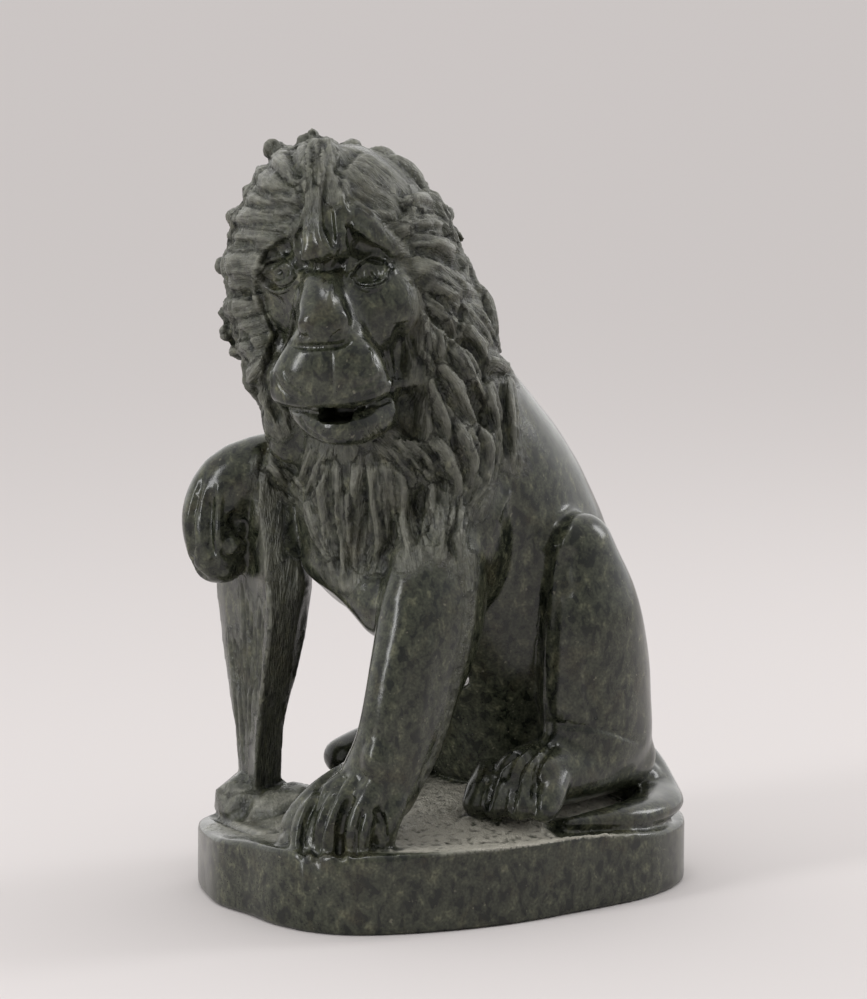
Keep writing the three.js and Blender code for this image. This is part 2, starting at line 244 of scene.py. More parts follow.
# Ruff. The mass of the mane, out of which its locks are cut: a thick wheel of stone about the face, fullest
# below the chin, that runs on down the neck and the chest. Its reaches go round from the crown by the
# lion's left.
ruff_reaches = [49.5, 42, 43, 53, 59, 49, 46, 47]
ruff_aside, ruff_back = -3, -12
ruff_before, ruff_behind = 24, 40
ruff_overhang = 15
ruff_fullness = 0.7
made = bmesh.ops.create_uvsphere(blocked_out, u_segments=64, v_segments=32, radius=1)["verts"]
ball = np.array([vertex.co for vertex in made])
backward = np.arccos(np.clip(ball[:, 2], -1, 1)) / math.pi
angle = np.arctan2(ball[:, 0], ball[:, 1])
part = (angle / (2 * math.pi)) % 1
wrapped = np.array(ruff_reaches[-1:] + ruff_reaches + ruff_reaches[:2], float)[:, None]
reach = along_curve(wrapped, (part * len(ruff_reaches) + 1) / (len(wrapped) - 1))[:, 0]
forward = ruff_back + np.where(backward < 0.5, ruff_before, ruff_behind) * np.cos(math.pi * backward)
forward += np.where(
    backward < 0.5, ruff_overhang * np.maximum(0, np.cos(angle)) ** 2 * np.sin(2 * math.pi * backward), 0
)
across = np.maximum(np.sin(math.pi * backward), 0) ** ruff_fullness * reach
for vertex, a, f, r in zip(made, angle, forward, across):
    vertex.co = on_head(ruff_aside + r * math.sin(a), f, r * math.cos(a))
head_limb(blocked_out, [(-29, -1, -34, 11, 12), (-26.5, -3, -50, 10, 12), (-25, -5, -66, 10, 10)])
limb(blocked_out, [
    (-7, -42, 250, 33, 33),
    (-5, -29, 219, 40, 40),
    (-3, -25, 184, 42, 43),
    (-4, -27, 158, 38, 38),
    (-6, -32, 136, 30, 28),
], around=64, rings=48, ends=(0.5, 0.6))


def as_made(holder):
    """The mesh of an object with its modifiers worked out."""
    return bpy.data.meshes.new_from_object(holder.evaluated_get(bpy.context.evaluated_depsgraph_get()))


def fused(parts, voxel, passes):
    """Forms as one skin: joined at the given grain and rubbed smooth, still in millimetres."""
    mesh = bpy.data.meshes.new("rough")
    parts.to_mesh(mesh)
    parts.free()
    holder = bpy.data.objects.new("rough", mesh)
    bpy.context.collection.objects.link(holder)
    fuse = holder.modifiers.new("fuse", "REMESH")
    fuse.mode = "VOXEL"
    fuse.voxel_size = voxel
    rub = holder.modifiers.new("rub", "SMOOTH")
    rub.factor = 0.5
    rub.iterations = passes
    result = as_made(holder)
    bpy.data.objects.remove(holder)
    bpy.data.meshes.remove(mesh)
    return result


rubbed = fused(blocked_out, voxel=1.8, passes=10)
lion = bpy.data.objects.new("lion_stone", rubbed)
bpy.context.collection.objects.link(lion)

# Opening under the belly. A small slot goes right through the block there, behind the standing foreleg and
# over the folded hind leg. It slants down towards the lion's far side.
belly_slot = [(21, -19, 86, 4, 3.4), (-23, 42, 77, 6, 4), (-63, 97, 68, 8, 5)]


def cut_away(opening):
    """Cut a closed form out of the lion."""
    bmesh.ops.recalc_face_normals(opening, faces=opening.faces[:])
    mesh = bpy.data.meshes.new("opening")
    opening.to_mesh(mesh)
    opening.free()
    drill = bpy.data.objects.new("opening", mesh)
    bpy.context.collection.objects.link(drill)
    through = lion.modifiers.new("through", "BOOLEAN")
    through.operation = "DIFFERENCE"
    through.solver = "MANIFOLD"
    through.object = drill
    result = as_made(lion)
    lion.modifiers.clear()
    lion.data = result
    bpy.data.objects.remove(drill)


opening = bmesh.new()
limb(opening, belly_slot, side=(0.8, 0.6, 0))
cut_away(opening)

# Plinth and ground. The low plinth is an oval cut by eye from the same block, its rim highest beside the
# paw and lower away from it. The ground on it is a rough mound, with a rough-hewn rock under the point of
# the shield.
crisp = bmesh.new()
plinth_height = 31
plinth_edge = 1.6
plinth_highest = (50, -75)
plinth_even_reach, plinth_drop_reach = 50, 80
plinth_end_drop = 6
plinth_corners = [
    (-79, -60), (-49, -88), (-22, -98), (-4, -104), (14, -105), (30, -99),
    (50, -79), (66, -52), (75, -26), (83, 4), (86, 28), (80, 54), (65, 74), (42, 91),
    (8, 98), (-34, 94), (-62, 76), (-76, 44), (-80, 0), (-82, -36),
]
corner_steps = 5
around = len(plinth_corners)
looped = np.array(plinth_corners[-1:] + plinth_corners + plinth_corners[:2], float)
rim = along_curve(looped, (np.arange(corner_steps * around) / corner_steps + 1) / (around + 2))
plinth_levels = [
    # height, and how far the ring stands out from the side
    (0, -1.2),
    (1.2, 0),
    (plinth_height - plinth_edge, 0),
    (plinth_height - 0.5, -0.5),
    (plinth_height, -plinth_edge),
]


def stacked(body, rings):
    """A closed form through rings of places, one over the other."""
    loops = []
    for ring in rings:
        corners = [body.verts.new(place) for place in ring]
        loops.append([body.edges.new((corners[k], corners[k - 1])) for k in range(len(corners))])
    bmesh.ops.bridge_loops(body, edges=[edge for loop in loops for edge in loop])
    for loop in (loops[0], loops[-1]):
        bmesh.ops.contextual_create(body, geom=loop)
    bmesh.ops.recalc_face_normals(body, faces=body.faces[:])


rings = []
for level, outset in plinth_levels:
    ring = []
    for x, y in rim:
        away = math.hypot(x - plinth_highest[0], y - plinth_highest[1])
        drop = np.clip((away - plinth_even_reach) / plinth_drop_reach, 0, 1)
        lowered = plinth_end_drop * drop * drop * (3 - 2 * drop) * (level > plinth_height / 2)
        grown = 1 + outset / math.hypot(x, y)
        ring.append((x * grown, y * grown, level - lowered))
    rings.append(ring)
stacked(crisp, rings)
mass(crisp, (-2, 3, 23), (76, 88, 15), around=64)
mass(crisp, (-64, -41, 29), (18.5, 18, 15), (25, 15, 20), around=7, rings=5)
mass(crisp, (-47, -45, 29), (19, 15, 11), (15, -20, 50), around=7, rings=5)

# Standing paw. Five long toes of the left forepaw run from the wrist over the rim of the plinth and end on
# its side. They are cut from the block as the rest is, and stand out from one another.
long_toes = [
    [(13, -70, 60, 5, 5), (1, -80, 50, 5.5, 6), (-7, -89, 38, 5, 6), (-5, -95, 25, 5, 5.5)],
    [(18, -72, 61, 5, 5), (9, -84, 51, 5.5, 6), (2, -93, 40, 5.5, 6.5), (4, -98, 24, 5, 5.5)],
    [(22, -73, 61, 5, 5), (17, -85, 52, 5.5, 6), (13, -93, 41, 5.5, 6.5), (13, -95, 25, 5, 5.5)],
    [(26, -73, 60, 5.5, 6), (25, -82, 52, 6.5, 7), (24, -89, 41, 6, 6.5), (23, -89, 27, 5, 5.5)],
    [(30, -68, 56, 4.5, 5), (32, -76, 48, 5, 5.5), (31, -80, 40, 5, 5), (29, -80, 30, 4, 4)],
]
for toe in long_toes:
    limb(crisp, toe, side=camera_right, around=20, rings=26)
mass(crisp, (24, -74, 62), (9, 9, 12))
mass(crisp, (27, -78, 63), (8, 8.5, 12), (20, 0, 0))

# Hind foot. The long left hind foot ends in four short rounded toes, side by side on the ground. The middle
# two reach a little farther, and all of them bend down to their tips.
foot_knuckles = np.array([47.0, -12.0, 50.0])
foot_facing = math.radians(12)
foot_ahead = unit([math.sin(foot_facing), -math.cos(foot_facing), 0.0])
foot_across = np.array([math.cos(foot_facing), math.sin(foot_facing), 0.0])
toe_spacing, toe_length, toe_half, toe_tip_height = 9.4, 15, 6.2, 35
for place in (-1.5, -0.5, 0.5, 1.5):
    reach = toe_length * (1 - 0.06 * place * place)
    knuckle = foot_knuckles + place * toe_spacing * foot_across
    bend = knuckle + 0.6 * reach * foot_ahead
    tip = knuckle + reach * foot_ahead
    drop = knuckle[2] - toe_tip_height
    limb(crisp, [
        (*knuckle, toe_half, toe_half),
        (bend[0], bend[1], knuckle[2] - 0.35 * drop, 1.1 * toe_half, 1.1 * toe_half),
        (tip[0], tip[1], toe_tip_height + 0.9 * toe_half, toe_half, 0.9 * toe_half),
    ], side=foot_across, around=20, rings=18)

# Shield. A heater shape that stands on its blunt point. Its hollowed face looks past the lion's right; its
# near edge is a polished band that narrows to the foot, with a rough bevel and a rounded back behind it.
shield_place = np.array([-62, -38])
shield_facing = math.radians(-32)
shield_along = np.array([math.cos(shield_facing), math.sin(shield_facing)])
shield_out = np.array([math.sin(shield_facing), -math.cos(shield_facing)])
shield_rows = [
    # height, then far edge, near edge, side and back, each along the face and out of it
    (36, -8.5, 8, 13.5, 8.5, 11, 5, 7, -5),
    (44, -8.5, 8.5, 14, 8.8, 11, 5.3, 7, -5),
    (60, -12.5, 8.6, 17, 8.6, 13, 4, 8, -5.5),
    (73, -17, 9.4, 19.5, 8.8, 16, 2, 10, -7),
    (86, -21, 9.7, 23.5, 8.4, 19.5, -1, 14, -9),
    (103, -26, 10.2, 29, 8, 24, -4.5, 17, -12),
    (116, -29, 10.4, 30, 8, 26, -7, 18, -13.5),
    (124, -30, 10.4, 27, 8.4, 26.5, -8, 18, -14),
    (134, -29, 10, 25, 8.3, 25, -6, 18, -12),
    (149, -27, 10, 20, 8.6, 21, -5.2, 14, -11),
    (164, -24, 9.5, 16.5, 8.6, 17, -5, 10, -10.5),
    (172, -22, 9, 15, 8.5, 15, -5, 9, -10),
]
shield_rings = 70
rings = []
for height, far, far_out, near, near_out, side, side_out, back, back_out in along_curve(
    shield_rows, np.linspace(0, 1, shield_rings)
):
    middle, back_far = (far + near) / 2, far + 3
    outline = [
        (far, far_out), (0.6 * far + 0.4 * middle, far_out + 0.6), (middle, 0.5 * (far_out + near_out) + 0.4),
        (0.5 * (near + middle), near_out + 0.2), (near, near_out), (side, side_out), (back, back_out),
        (middle, back_out + 1), (back_far, -4), (far, far_out - 4),
    ]
    ring = []
    for along, out in outline:
        x, y = shield_place + along * shield_along + out * shield_out
        ring.append((x, y, height))
    rings.append(ring)
stacked(crisp, rings)

# Tail. It leaves the rump, lies round the left side on the ground and ends in a point beside the hind foot.
# It is a flat band of the same block, with a fillet of stone left between it and the haunch.
limb(crisp, [
    (12, 68, 62, 14, 12),
    (40, 76, 44, 9, 10),
    (60, 64, 34, 6, 9.5),
    (71, 46, 31.5, 6, 11),
    (74, 20, 31.5, 5.5, 9),
    (66, -6, 32.5, 2.5, 3),
], side=upward, around=24, rings=40, ends=(1, 1.6))
mass(crisp, (44, 62, 36), (20, 14, 12))

# Face. The brow ridges that run down to the bridge of the nose, the brows over the two eyes, the pad of the
# nose and the parted lower jaw are crisp forms on the rubbed skull, with their edges left sharp.
head_limb(crisp, [
    (-9.5, 8, 47.5, 6, 5),
    (-8, 19, 41.5, 6, 5),
    (-7.7, 25, 28, 3.6, 4.5),
    (-7, 28, 19, 4.4, 4.5),
    (-5, 30.5, 12.5, 6.5, 4),
    (-4.3, 31, 9.8, 8, 3.5),
], square=0.7)
head_limb(crisp, [
    (-0.5, 20, 34, 6, 5),
    (0.5, 24, 26, 5, 5),
    (2, 26, 18, 4, 5),
    (3.6, 26, 11, 3.6, 4.5),
], square=0.8)
for brow in (
    [(6, 21, 22, 7, 6.5), (15.5, 18, 14.5, 6.5, 6.5), (23, 10.5, 8, 5, 5)],
    [(-12.5, 21, 20, 6, 6), (-21, 17, 15, 5.5, 5.5), (-30, 8, 8, 5, 5)],
):
    head_limb(crisp, brow, side=upward, square=1.3)
head_limb(crisp, [
    (-2.5, 34, -8, 7.5, 7),
    (-0.8, 39.5, -13, 9, 7.5),
    (0.3, 43, -16.5, 10, 7.5),
], square=0.7, ends=(1, 0.7))
head_limb(crisp, [
    (-13, 20, -50, 6.5, 6),
    (-7, 29, -54.5, 6.5, 6),
    (3, 34.5, -56.5, 6.5, 6.5),
    (11, 33, -56.5, 6.5, 6),
    (17, 25, -53.5, 6.5, 6),
    (20, 18, -50, 6.5, 6),
], side=upward)
head_mass(crisp, 3, 22, -54, (15, 12, 9))

# Mane. The ruff is cut into pointed locks, combed back from the cheeks and brow, and the chest into a bib
# of longer ones. Each lock is a crested form laid along a line on the rubbed stone. Those that show in the
# photograph are given by their half width in millimetres and their line over the photograph, in pixels.
locks_seen = {
    "crown": [
        (5.5, [(301, 185), (300, 162), (303, 138)]),
        (6, [(315, 180), (312, 156), (311, 133)]),
        (5, [(328, 190), (328, 163), (328, 140)]),
    ],
    "right cheek": [
        (8, [(304, 186), (288, 168), (271, 146)]),
        (8.5, [(300, 200), (278, 190), (258, 173)]),
        (8, [(294, 212), (270, 204), (248, 191)]),
        (8.5, [(286, 222), (258, 220), (232, 216)]),
        (7, [(276, 240), (254, 238), (232, 236)]),
        (9.5, [(262, 262), (242, 264), (222, 266)]),
        (7, [(254, 284), (242, 283), (230, 284)]),
        (8, [(260, 304), (242, 308), (224, 312)]),
        (8.5, [(266, 322), (246, 328), (226, 333)]),
        (8, [(272, 340), (254, 345), (236, 351)]),
        (7, [(272, 362), (260, 372), (250, 384)]),
        (4, [(270, 362), (266, 385), (268, 405), (276, 428)]),
    ],
    "left cheek": [
        (6.5, [(408, 207), (422, 200), (438, 203), (452, 220)]),
        (6, [(402, 228), (420, 221), (442, 222), (460, 240)]),
        (6.5, [(412, 245), (432, 240), (452, 250), (470, 268)]),
        (7, [(418, 266), (438, 270), (458, 284), (478, 292)]),
        (6, [(428, 282), (444, 290), (460, 302), (466, 318)]),
        (4.5, [(430, 300), (446, 312), (458, 328), (460, 340)]),
    ],
    "left neck": [
        (4.5, [(464, 305), (480, 318), (492, 334), (500, 350)]),
        (5, [(462, 322), (474, 335), (484, 352), (487, 372)]),
        (5, [(452, 345), (464, 360), (474, 378), (484, 398)]),
        (5, [(445, 366), (456, 382), (464, 398), (474, 420)]),
        (4, [(430, 384), (438, 400), (446, 420), (450, 440)]),
        (4.5, [(486, 360), (499, 363), (510, 370)]),
        (4.5, [(488, 385), (492, 405), (498, 430), (500, 450)]),
        (4, [(508, 380), (511, 410), (513, 440), (513, 460)]),
        (4.5, [(436, 330), (440, 345), (444, 360)]),
        (4.5, [(424, 320), (426, 345), (430, 370)]),
        (5.5, [(460, 430), (470, 450), (474, 475), (466, 500)]),
        (5, [(484, 430), (490, 455), (486, 480), (474, 505)]),
        (5, [(440, 445), (452, 465), (458, 490), (452, 520)]),
    ],
    "beard": [
        (2.5, [(388, 448), (402, 462), (414, 480)]),
        (3, [(397, 443), (412, 458), (426, 476)]),
        (2.5, [(408, 442), (424, 456), (436, 474)]),
        (4.5, [(398, 470), (402, 500), (404, 530), (408, 556)]),
        (4.5, [(372, 470), (376, 505), (380, 540), (376, 556)]),
        (4, [(385, 470), (388, 500), (390, 535)]),
        (4.5, [(356, 470), (352, 500), (350, 530), (355, 560)]),
        (4.5, [(338, 470), (340, 505), (342, 540), (345, 575)]),
        (5, [(322, 465), (322, 500), (328, 540), (334, 570)]),
        (4.5, [(430, 490), (434, 515), (440, 545)]),
        (4, [(446, 490), (446, 520), (440, 548)]),
        (4, [(462, 500), (458, 530), (460, 560)]),
        (3.5, [(270, 465), (285, 480), (302, 500)]),
        (2.5, [(284, 466), (296, 480), (306, 494)]),
        (3, [(312, 448), (306, 468), (299, 492)]),
        (3, [(322, 455), (314, 475), (306, 495)]),
        (4, [(308, 505), (318, 535), (332, 560)]),
    ],
}
# How thick the locks of each group stand, and how blunt their tips are.
lock_shapes = {
    "crown": (0.7, 0.5),
    "right cheek": (0.75, 0.45),
    "left cheek": (0.5, 0.4),
    "left neck": (0.7, 0.35),
    "beard": (0.7, 0.35),
}
lock_beyond = 12


def skin_tree():
    bpy.context.view_layer.update()
    return BVHTree.FromObject(lion, bpy.context.evaluated_depsgraph_get())


def seen(tree, points, gap=1.5, beyond=0.0):
    """Where a line drawn over the photograph falls on the stone: places and facings, in millimetres.

    A point of the line that misses the stone is taken at its own depth if it is within `beyond` of the stone.
    """
    points = np.asarray(points, float)
    length = np.linalg.norm(np.diff(points, axis=0), axis=1).sum()
    hits = []
    for x, y in along_curve(points, np.linspace(0, 1, max(3, round(length / gap)))):
        across = (x - photo_size[0] / 2) * camera_right - (y - photo_size[1] / 2) * camera_up
        ray = unit(across - focal_pixels * camera_back)
        place, facing, _, _ = tree.ray_cast(camera_place, ray)
        if place is None and beyond:
            place = camera_place + camera_distance * ray
            for _ in range(4):
                closest, facing, _, away = tree.find_nearest(place)
                place = camera_place + ((np.array(closest) - camera_place) @ ray) * ray
            if away > beyond:
                continue
        if place is not None:
            hits.append((*place, *facing))
    return np.array(hits)


def lock(body, line, half, thick=0.62, tip=0.35):
    """A crested lock along a line on the stone, narrow at its root and narrower still at its tip."""
    rows = along_curve(line, np.linspace(0, 1, 5))
    facing = unit(rows[:, 3:])
    across = unit(np.cross(unit(rows[-1, :3] - rows[0, :3]), facing.mean(axis=0)))
    widths = half * np.array([0.75, 1, 0.55 + tip, 0.3 + tip, tip])
    stations = np.column_stack([rows[:, :3], widths, thick * widths])
    limb(body, stations, side=across, around=16, rings=18, square=1.2)


tree = skin_tree()
for group, locks in locks_seen.items():
    thick, tip = lock_shapes[group]
    for half, points in locks:
        line = seen(tree, points, beyond=lock_beyond)
        if len(line) > 3:
            lock(crisp, line, half, thick, tip)

# Hidden locks. Round the back of the head, where the photograph doesn't reach, the mane goes on in rows of
# locks about one middle, each row set between the locks of the last and each lock a little out of line.
whorl = np.array([-8, -45, 235])
whorl_reach = 150
row_pitches = np.radians([78, 62, 46, 30, 14, -2, -18, -34])
locks_round, fewest_locks = 26, 5
lock_course = [(0.2, 0.0), (0, 0.04), (-0.24, 0.14)]
longest_step = 22
lowest_lock = 203
before_face = 8
turned_to_front = 0.2
tossed = np.random.default_rng(3)
hidden_locks = []
for row, pitch in enumerate(row_pitches):
    count = max(fewest_locks, round(locks_round * math.cos(pitch)))
    for column in range(count):
        turn = 2 * math.pi * (column + 0.5 * (row % 2)) / count + tossed.normal(0, 0.04)
        half = tossed.uniform(5.4, 7)
        path = []
        for down, drift in lock_course:
            heading, dip = turn + drift / max(math.cos(pitch), 0.3), pitch + down
            out = np.array([
                math.sin(heading) * math.cos(dip), math.cos(heading) * math.cos(dip), math.sin(dip),
            ])
            place, facing, _, _ = tree.ray_cast(whorl + whorl_reach * out, -out)
            if place is not None:
                path.append((*place, *facing))
        path = np.array(path)
        if len(path) < 3 or np.linalg.norm(np.diff(path[:, :3], axis=0), axis=1).max() > longest_step:
            continue
        middle = path[1, :3]
        if (path[:, 3:] @ camera_back).max() > turned_to_front or middle[2] < lowest_lock:
            continue
        if (middle - head_centre) @ head_forward > before_face:
            continue
        hidden_locks.append((half, path))
        lock(crisp, path, half)

# One skin. The crisp forms and the rubbed ones become a single stone, and the dark slot of the mouth is cut
# into it between the lips. The bare face gets finer faces than the rest, because its lines are the finest.
mouth_slot = [(3.2, 14, -51.6, 6, 3), (3.4, 36, -51.4, 6.8, 3.2), (3.6, 50, -51.2, 7.2, 3.5)]
face_middle = on_head(-2, 24, -20)
face_half_width, face_half_depth, face_half_height = 29, 34, 45
face_edge, face_fade = 1.15, 4
crisp.from_mesh(lion.data)
lion.data = fused(crisp, voxel=1.0, passes=2)
mouth = bmesh.new()
head_limb(mouth, mouth_slot, square=0.6, ends=(0.6, 0.6))
cut_away(mouth)


def skin_points():
    """Places and facings of all points of the skin, in its own units."""
    count = len(lion.data.vertices)
    places, facings = np.empty(3 * count), np.empty(3 * count)
    lion.data.vertices.foreach_get("co", places)
    lion.data.vertex_normals.foreach_get("vector", facings)
    return places.reshape(-1, 3), facings.reshape(-1, 3)


def move_skin(places):
    lion.data.vertices.foreach_set("co", places.ravel())
    lion.data.update()


def in_face(places):
    """How far places lie within the bare face, from 0 at its rim to 1."""
    away = places - face_middle
    aside, ahead, above = away @ head_left, away @ head_forward, away @ upward
    reach = np.sqrt(
        (aside / face_half_width) ** 2 + (ahead / face_half_depth) ** 2 + (above / face_half_height) ** 2
    )
    return np.clip((face_edge - reach) * face_fade, 0, 1)


face_skin = bmesh.new()
face_skin.from_mesh(lion.data)
within = in_face(skin_points()[0]) > 0
fine = [edge for edge in face_skin.edges if within[edge.verts[0].index] and within[edge.verts[1].index]]
bmesh.ops.subdivide_edges(face_skin, edges=fine, cuts=1, use_grid_fill=True)
bmesh.ops.triangulate(face_skin, faces=[face for face in face_skin.faces if len(face.verts) > 4])
face_skin.to_mesh(lion.data)
face_skin.free()

# Cutting the locks. The carver frees each lock from its neighbours with a groove down either side, leaves a
# crest along it and combs it with a few strands. The hair keeps the marks of the chisel, and the bare face
# is polished.
combed_skin = [
    # half width, and the path over the photograph, of hair that lies between the locks
    (13, [(345, 152), (372, 165), (400, 190), (420, 215)]),
    (9, [(345, 175), (365, 192), (390, 205), (412, 225)]),
    (6, [(312, 145), (312, 200), (312, 225)]),
    (9, [(420, 300), (425, 340), (425, 380), (420, 430)]),
    (10, [(445, 300), (462, 350), (480, 400), (470, 450)]),
    (10, [(345, 460), (347, 490), (350, 520)]),
    (10, [(420, 465), (424, 495), (428, 520)]),
]
cut_depths = {"right cheek": 0.45}
usual_cut_depth, hidden_cut_depth = 1.1, 1.0
rough_past_lock, rough_about_hidden = 4, 13
face_polish = 0.97


def in_photo(places):
    """Where places show in the photograph, in its pixels."""
    away = places - camera_place
    scale = focal_pixels / (away @ -camera_back)
    return photo_size[0] / 2 + scale * (away @ camera_right), photo_size[1] / 2 - scale * (away @ camera_up)


def laid(tree, points, gap=0.8):
    """Where a line near the stone falls on it."""
    points = np.asarray(points, float)
    length = np.linalg.norm(np.diff(points, axis=0), axis=1).sum()
    hits = []
    for point in along_curve(points, np.linspace(0, 1, max(3, round(length / gap)))):
        place, facing, _, _ = tree.find_nearest(point)
        hits.append((*place, *facing))
    return np.array(hits)


class Cuts:
    """Cuts and raised lines, gathered over the whole skin and then made at once."""

    def __init__(self):
        self.places, self.facings = skin_points()
        self.tree = skin_tree()
        self.raised = np.zeros(len(self.places))
        self.sunk = np.zeros(len(self.places))
        self.rough = np.zeros(len(self.places))

    def line(self, line, width, height, kind="vee", taper=0.2):
        """Raise the skin by a height along a line, or sink it, or leave it rough by that share."""
        if len(line) < 3:
            return
        spots, facing = line[:, :3], unit(line[:, 3:])
        low, high = spots.min(axis=0) - width, spots.max(axis=0) + width
        near = np.flatnonzero(np.all((self.places > low) & (self.places < high), axis=1))
        if not len(near):
            return
        distance = np.linalg.norm(self.places[near][:, None, :] - spots[None, :, :], axis=2)
        spot = distance.argmin(axis=1)
        away = distance[np.arange(len(near)), spot]
        other_side = -0.2
        same_side = np.einsum("ij,ij->i", self.facings[near], facing[spot]) > other_side
        kept = (away < width) & same_side
        if kind == "rough":
            near, away = near[kept], away[kept]
            self.rough[near] = np.maximum(self.rough[near], np.clip(2.5 * (1 - away / width), 0, height))
            return
        near, spot, away = near[kept], spot[kept], away[kept]
        t = spot / (len(spots) - 1)
        fade = np.sqrt(np.clip(np.minimum(t, 1 - t) / taper, 0.0, 1))
        share = away / width
        section = (1 - share**2) ** 2 if kind == "round" else 1 - share
        amount = section * height * fade
        self.raised[near] = np.maximum(self.raised[near], amount)
        self.sunk[near] = np.maximum(self.sunk[near], -amount)

    def seen(self, points, width, height, kind="vee"):
        """Cut or raise a line drawn over the photograph."""
        self.line(seen(self.tree, points), width, height, kind)

    def rough_along(self, points, width, share=1):
        """Leave the stone rough along a path over the photograph, and give the line there."""
        line = seen(self.tree, points)
        self.line(line, width, share, "rough")
        return line

    def eye(self, inner, outer, rise, fall, pupil):
        """An almond eye between thin lids, its corners and pupil given as points of the photograph.

        Heights and depths are in millimetres. Widths are in pixels, and so are the rise and fall of the lids.
        """
        ball_height, ball_reach = 1.5, 11
        seam_depth, seam_width = 1.1, 1.3
        lid_height, lid_out, lid_width = 1.2, 3.8, 2.2
        iris_depth, iris_radius, iris_width = 0.4, 7.5, 1.4
        pupil_depth, pupil_width = 1.4, 2.5
        front = np.flatnonzero((in_face(self.places) > 0) & (self.facings @ camera_back > 0.1))
        x, y = in_photo(self.places[front])
        t = (x - inner[0]) / (outer[0] - inner[0])
        line = inner[1] + t * (outer[1] - inner[1])
        arch = np.clip(1 - (2 * t - 1) ** 2, 0, 1) ** 0.75
        inside = np.minimum(y - line + rise * arch, line + fall * arch - y)
        past = np.maximum(np.abs(2 * t - 1) - 1, 0) * abs(outer[0] - inner[0]) / 2
        inside = np.where(past > 0, -np.hypot(past, y - line), inside)
        ball = ball_height * np.clip(1 - (1 - inside / ball_reach) ** 2, 0, 1) * (inside > 0)
        seam = seam_depth * np.exp(-((inside / seam_width) ** 2))
        lid = lid_height * np.exp(-(((inside + lid_out) / lid_width) ** 2))
        from_pupil = np.hypot(x - pupil[0], y - pupil[1])
        iris = iris_depth * np.exp(-(((from_pupil - iris_radius) / iris_width) ** 2))
        iris = iris + pupil_depth * np.exp(-((from_pupil / pupil_width) ** 2))
        self.raised[front] += ball + lid
        self.sunk[front] += seam + iris * (inside > 0.5)

    def make(self):
        self.places += self.facings * (self.raised - self.sunk)[:, None]
        move_skin(self.places)


def dress(cuts, line, half, deep):
    """Cut a lock free of its neighbours, raise its crest and comb it with a few strands."""
    if len(line) < 4:
        return
    spots, facing = line[:, :3], unit(line[:, 3:])
    ahead = unit(np.gradient(spots, axis=0))
    across = unit(np.cross(ahead, facing))
    along = np.linspace(0, 1, len(line))
    swell = (0.75 + 0.5 * np.sin(math.pi * along) - 0.6 * along**3)[:, None]
    finest = 1.1
    cuts.line(line, 0.8 * half, 0.9 * deep)
    for offset, width, height in (
        (-1, 0.4 * half, -1.8 * deep), (1, 0.4 * half, -1.8 * deep),
        (-0.45, finest, -0.6 * deep), (0.5, finest, -0.5 * deep),
    ):
        beside = laid(cuts.tree, spots + offset * half * swell * across)
        cuts.line(beside, max(width, finest), height, taper=0.35)


cuts = Cuts()
hair_lines = []
for group, locks in locks_seen.items():
    for half, points in locks:
        line = seen(cuts.tree, points)
        if len(line) > 3:
            cuts.line(line, half + rough_past_lock, 1, "rough")
            hair_lines.append(line)
            dress(cuts, line, half, cut_depths.get(group, usual_cut_depth))
for half, path in hidden_locks:
    line = laid(cuts.tree, path[:, :3])
    cuts.line(line, rough_about_hidden, 1, "rough")
    hair_lines.append(line)
    dress(cuts, line, half, hidden_cut_depth)
for half, points in combed_skin:
    hair_lines.append(cuts.rough_along(points, half))
cuts.rough *= 1 - face_polish * in_face(cuts.places)

